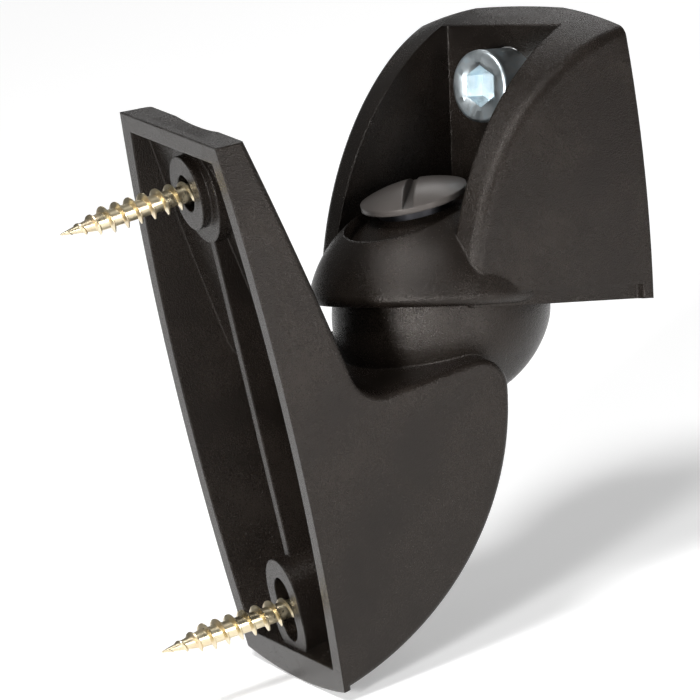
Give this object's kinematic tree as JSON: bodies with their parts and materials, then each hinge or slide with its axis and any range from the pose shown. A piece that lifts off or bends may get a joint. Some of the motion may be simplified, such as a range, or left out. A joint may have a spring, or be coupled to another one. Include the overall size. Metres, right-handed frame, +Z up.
{
  "type": "speaker wall bracket",
  "caption": "Swivel-and-tilt wall bracket for a small loudspeaker: hollow moulded wall plate with a ball, and a slotted hood clamped over it.",
  "frame": {"origin": "on the wall plane, on the bracket's centre plane, midway between the two wall screws", "axes": "+X along the wall, +Y out of the wall, +Z up"},
  "size_m": [0.0514, 0.0865, 0.079],
  "materials": {
    "black_plastic": "fine spark-eroded texture",
    "satin_black_plastic": "smooth satin",
    "zinc_steel": "blue-white zinc plate",
    "yellow_zinc": "yellow chromated zinc plate",
    "brass": "turned"
  },
  "bodies": {
    "wall": {"wall_plate": "black_plastic", "thread_insert": "brass", "wall_screw_upper": "yellow_zinc", "wall_screw_lower": "yellow_zinc"},
    "clamp": {"clamp_screw": "satin_black_plastic", "saddle_washer": "zinc_steel"},
    "hood": {"speaker_bracket": "black_plastic", "speaker_screw": "zinc_steel"}
  },
  "joints": [
    {"name": "swivel", "type": "hinge", "parent": "wall", "child": "clamp", "pos_m": [0, 0.0323, 0.0025], "axis": [0, 0, 1], "range_deg": [-65.2, 14.8]},
    {"name": "tilt", "type": "hinge", "parent": "clamp", "child": "hood", "pos_m": [0, 0.0323, 0.0025], "axis": [0.9048, 0.4258, 0], "range_deg": [-3.6, 26.4]}
  ]
}
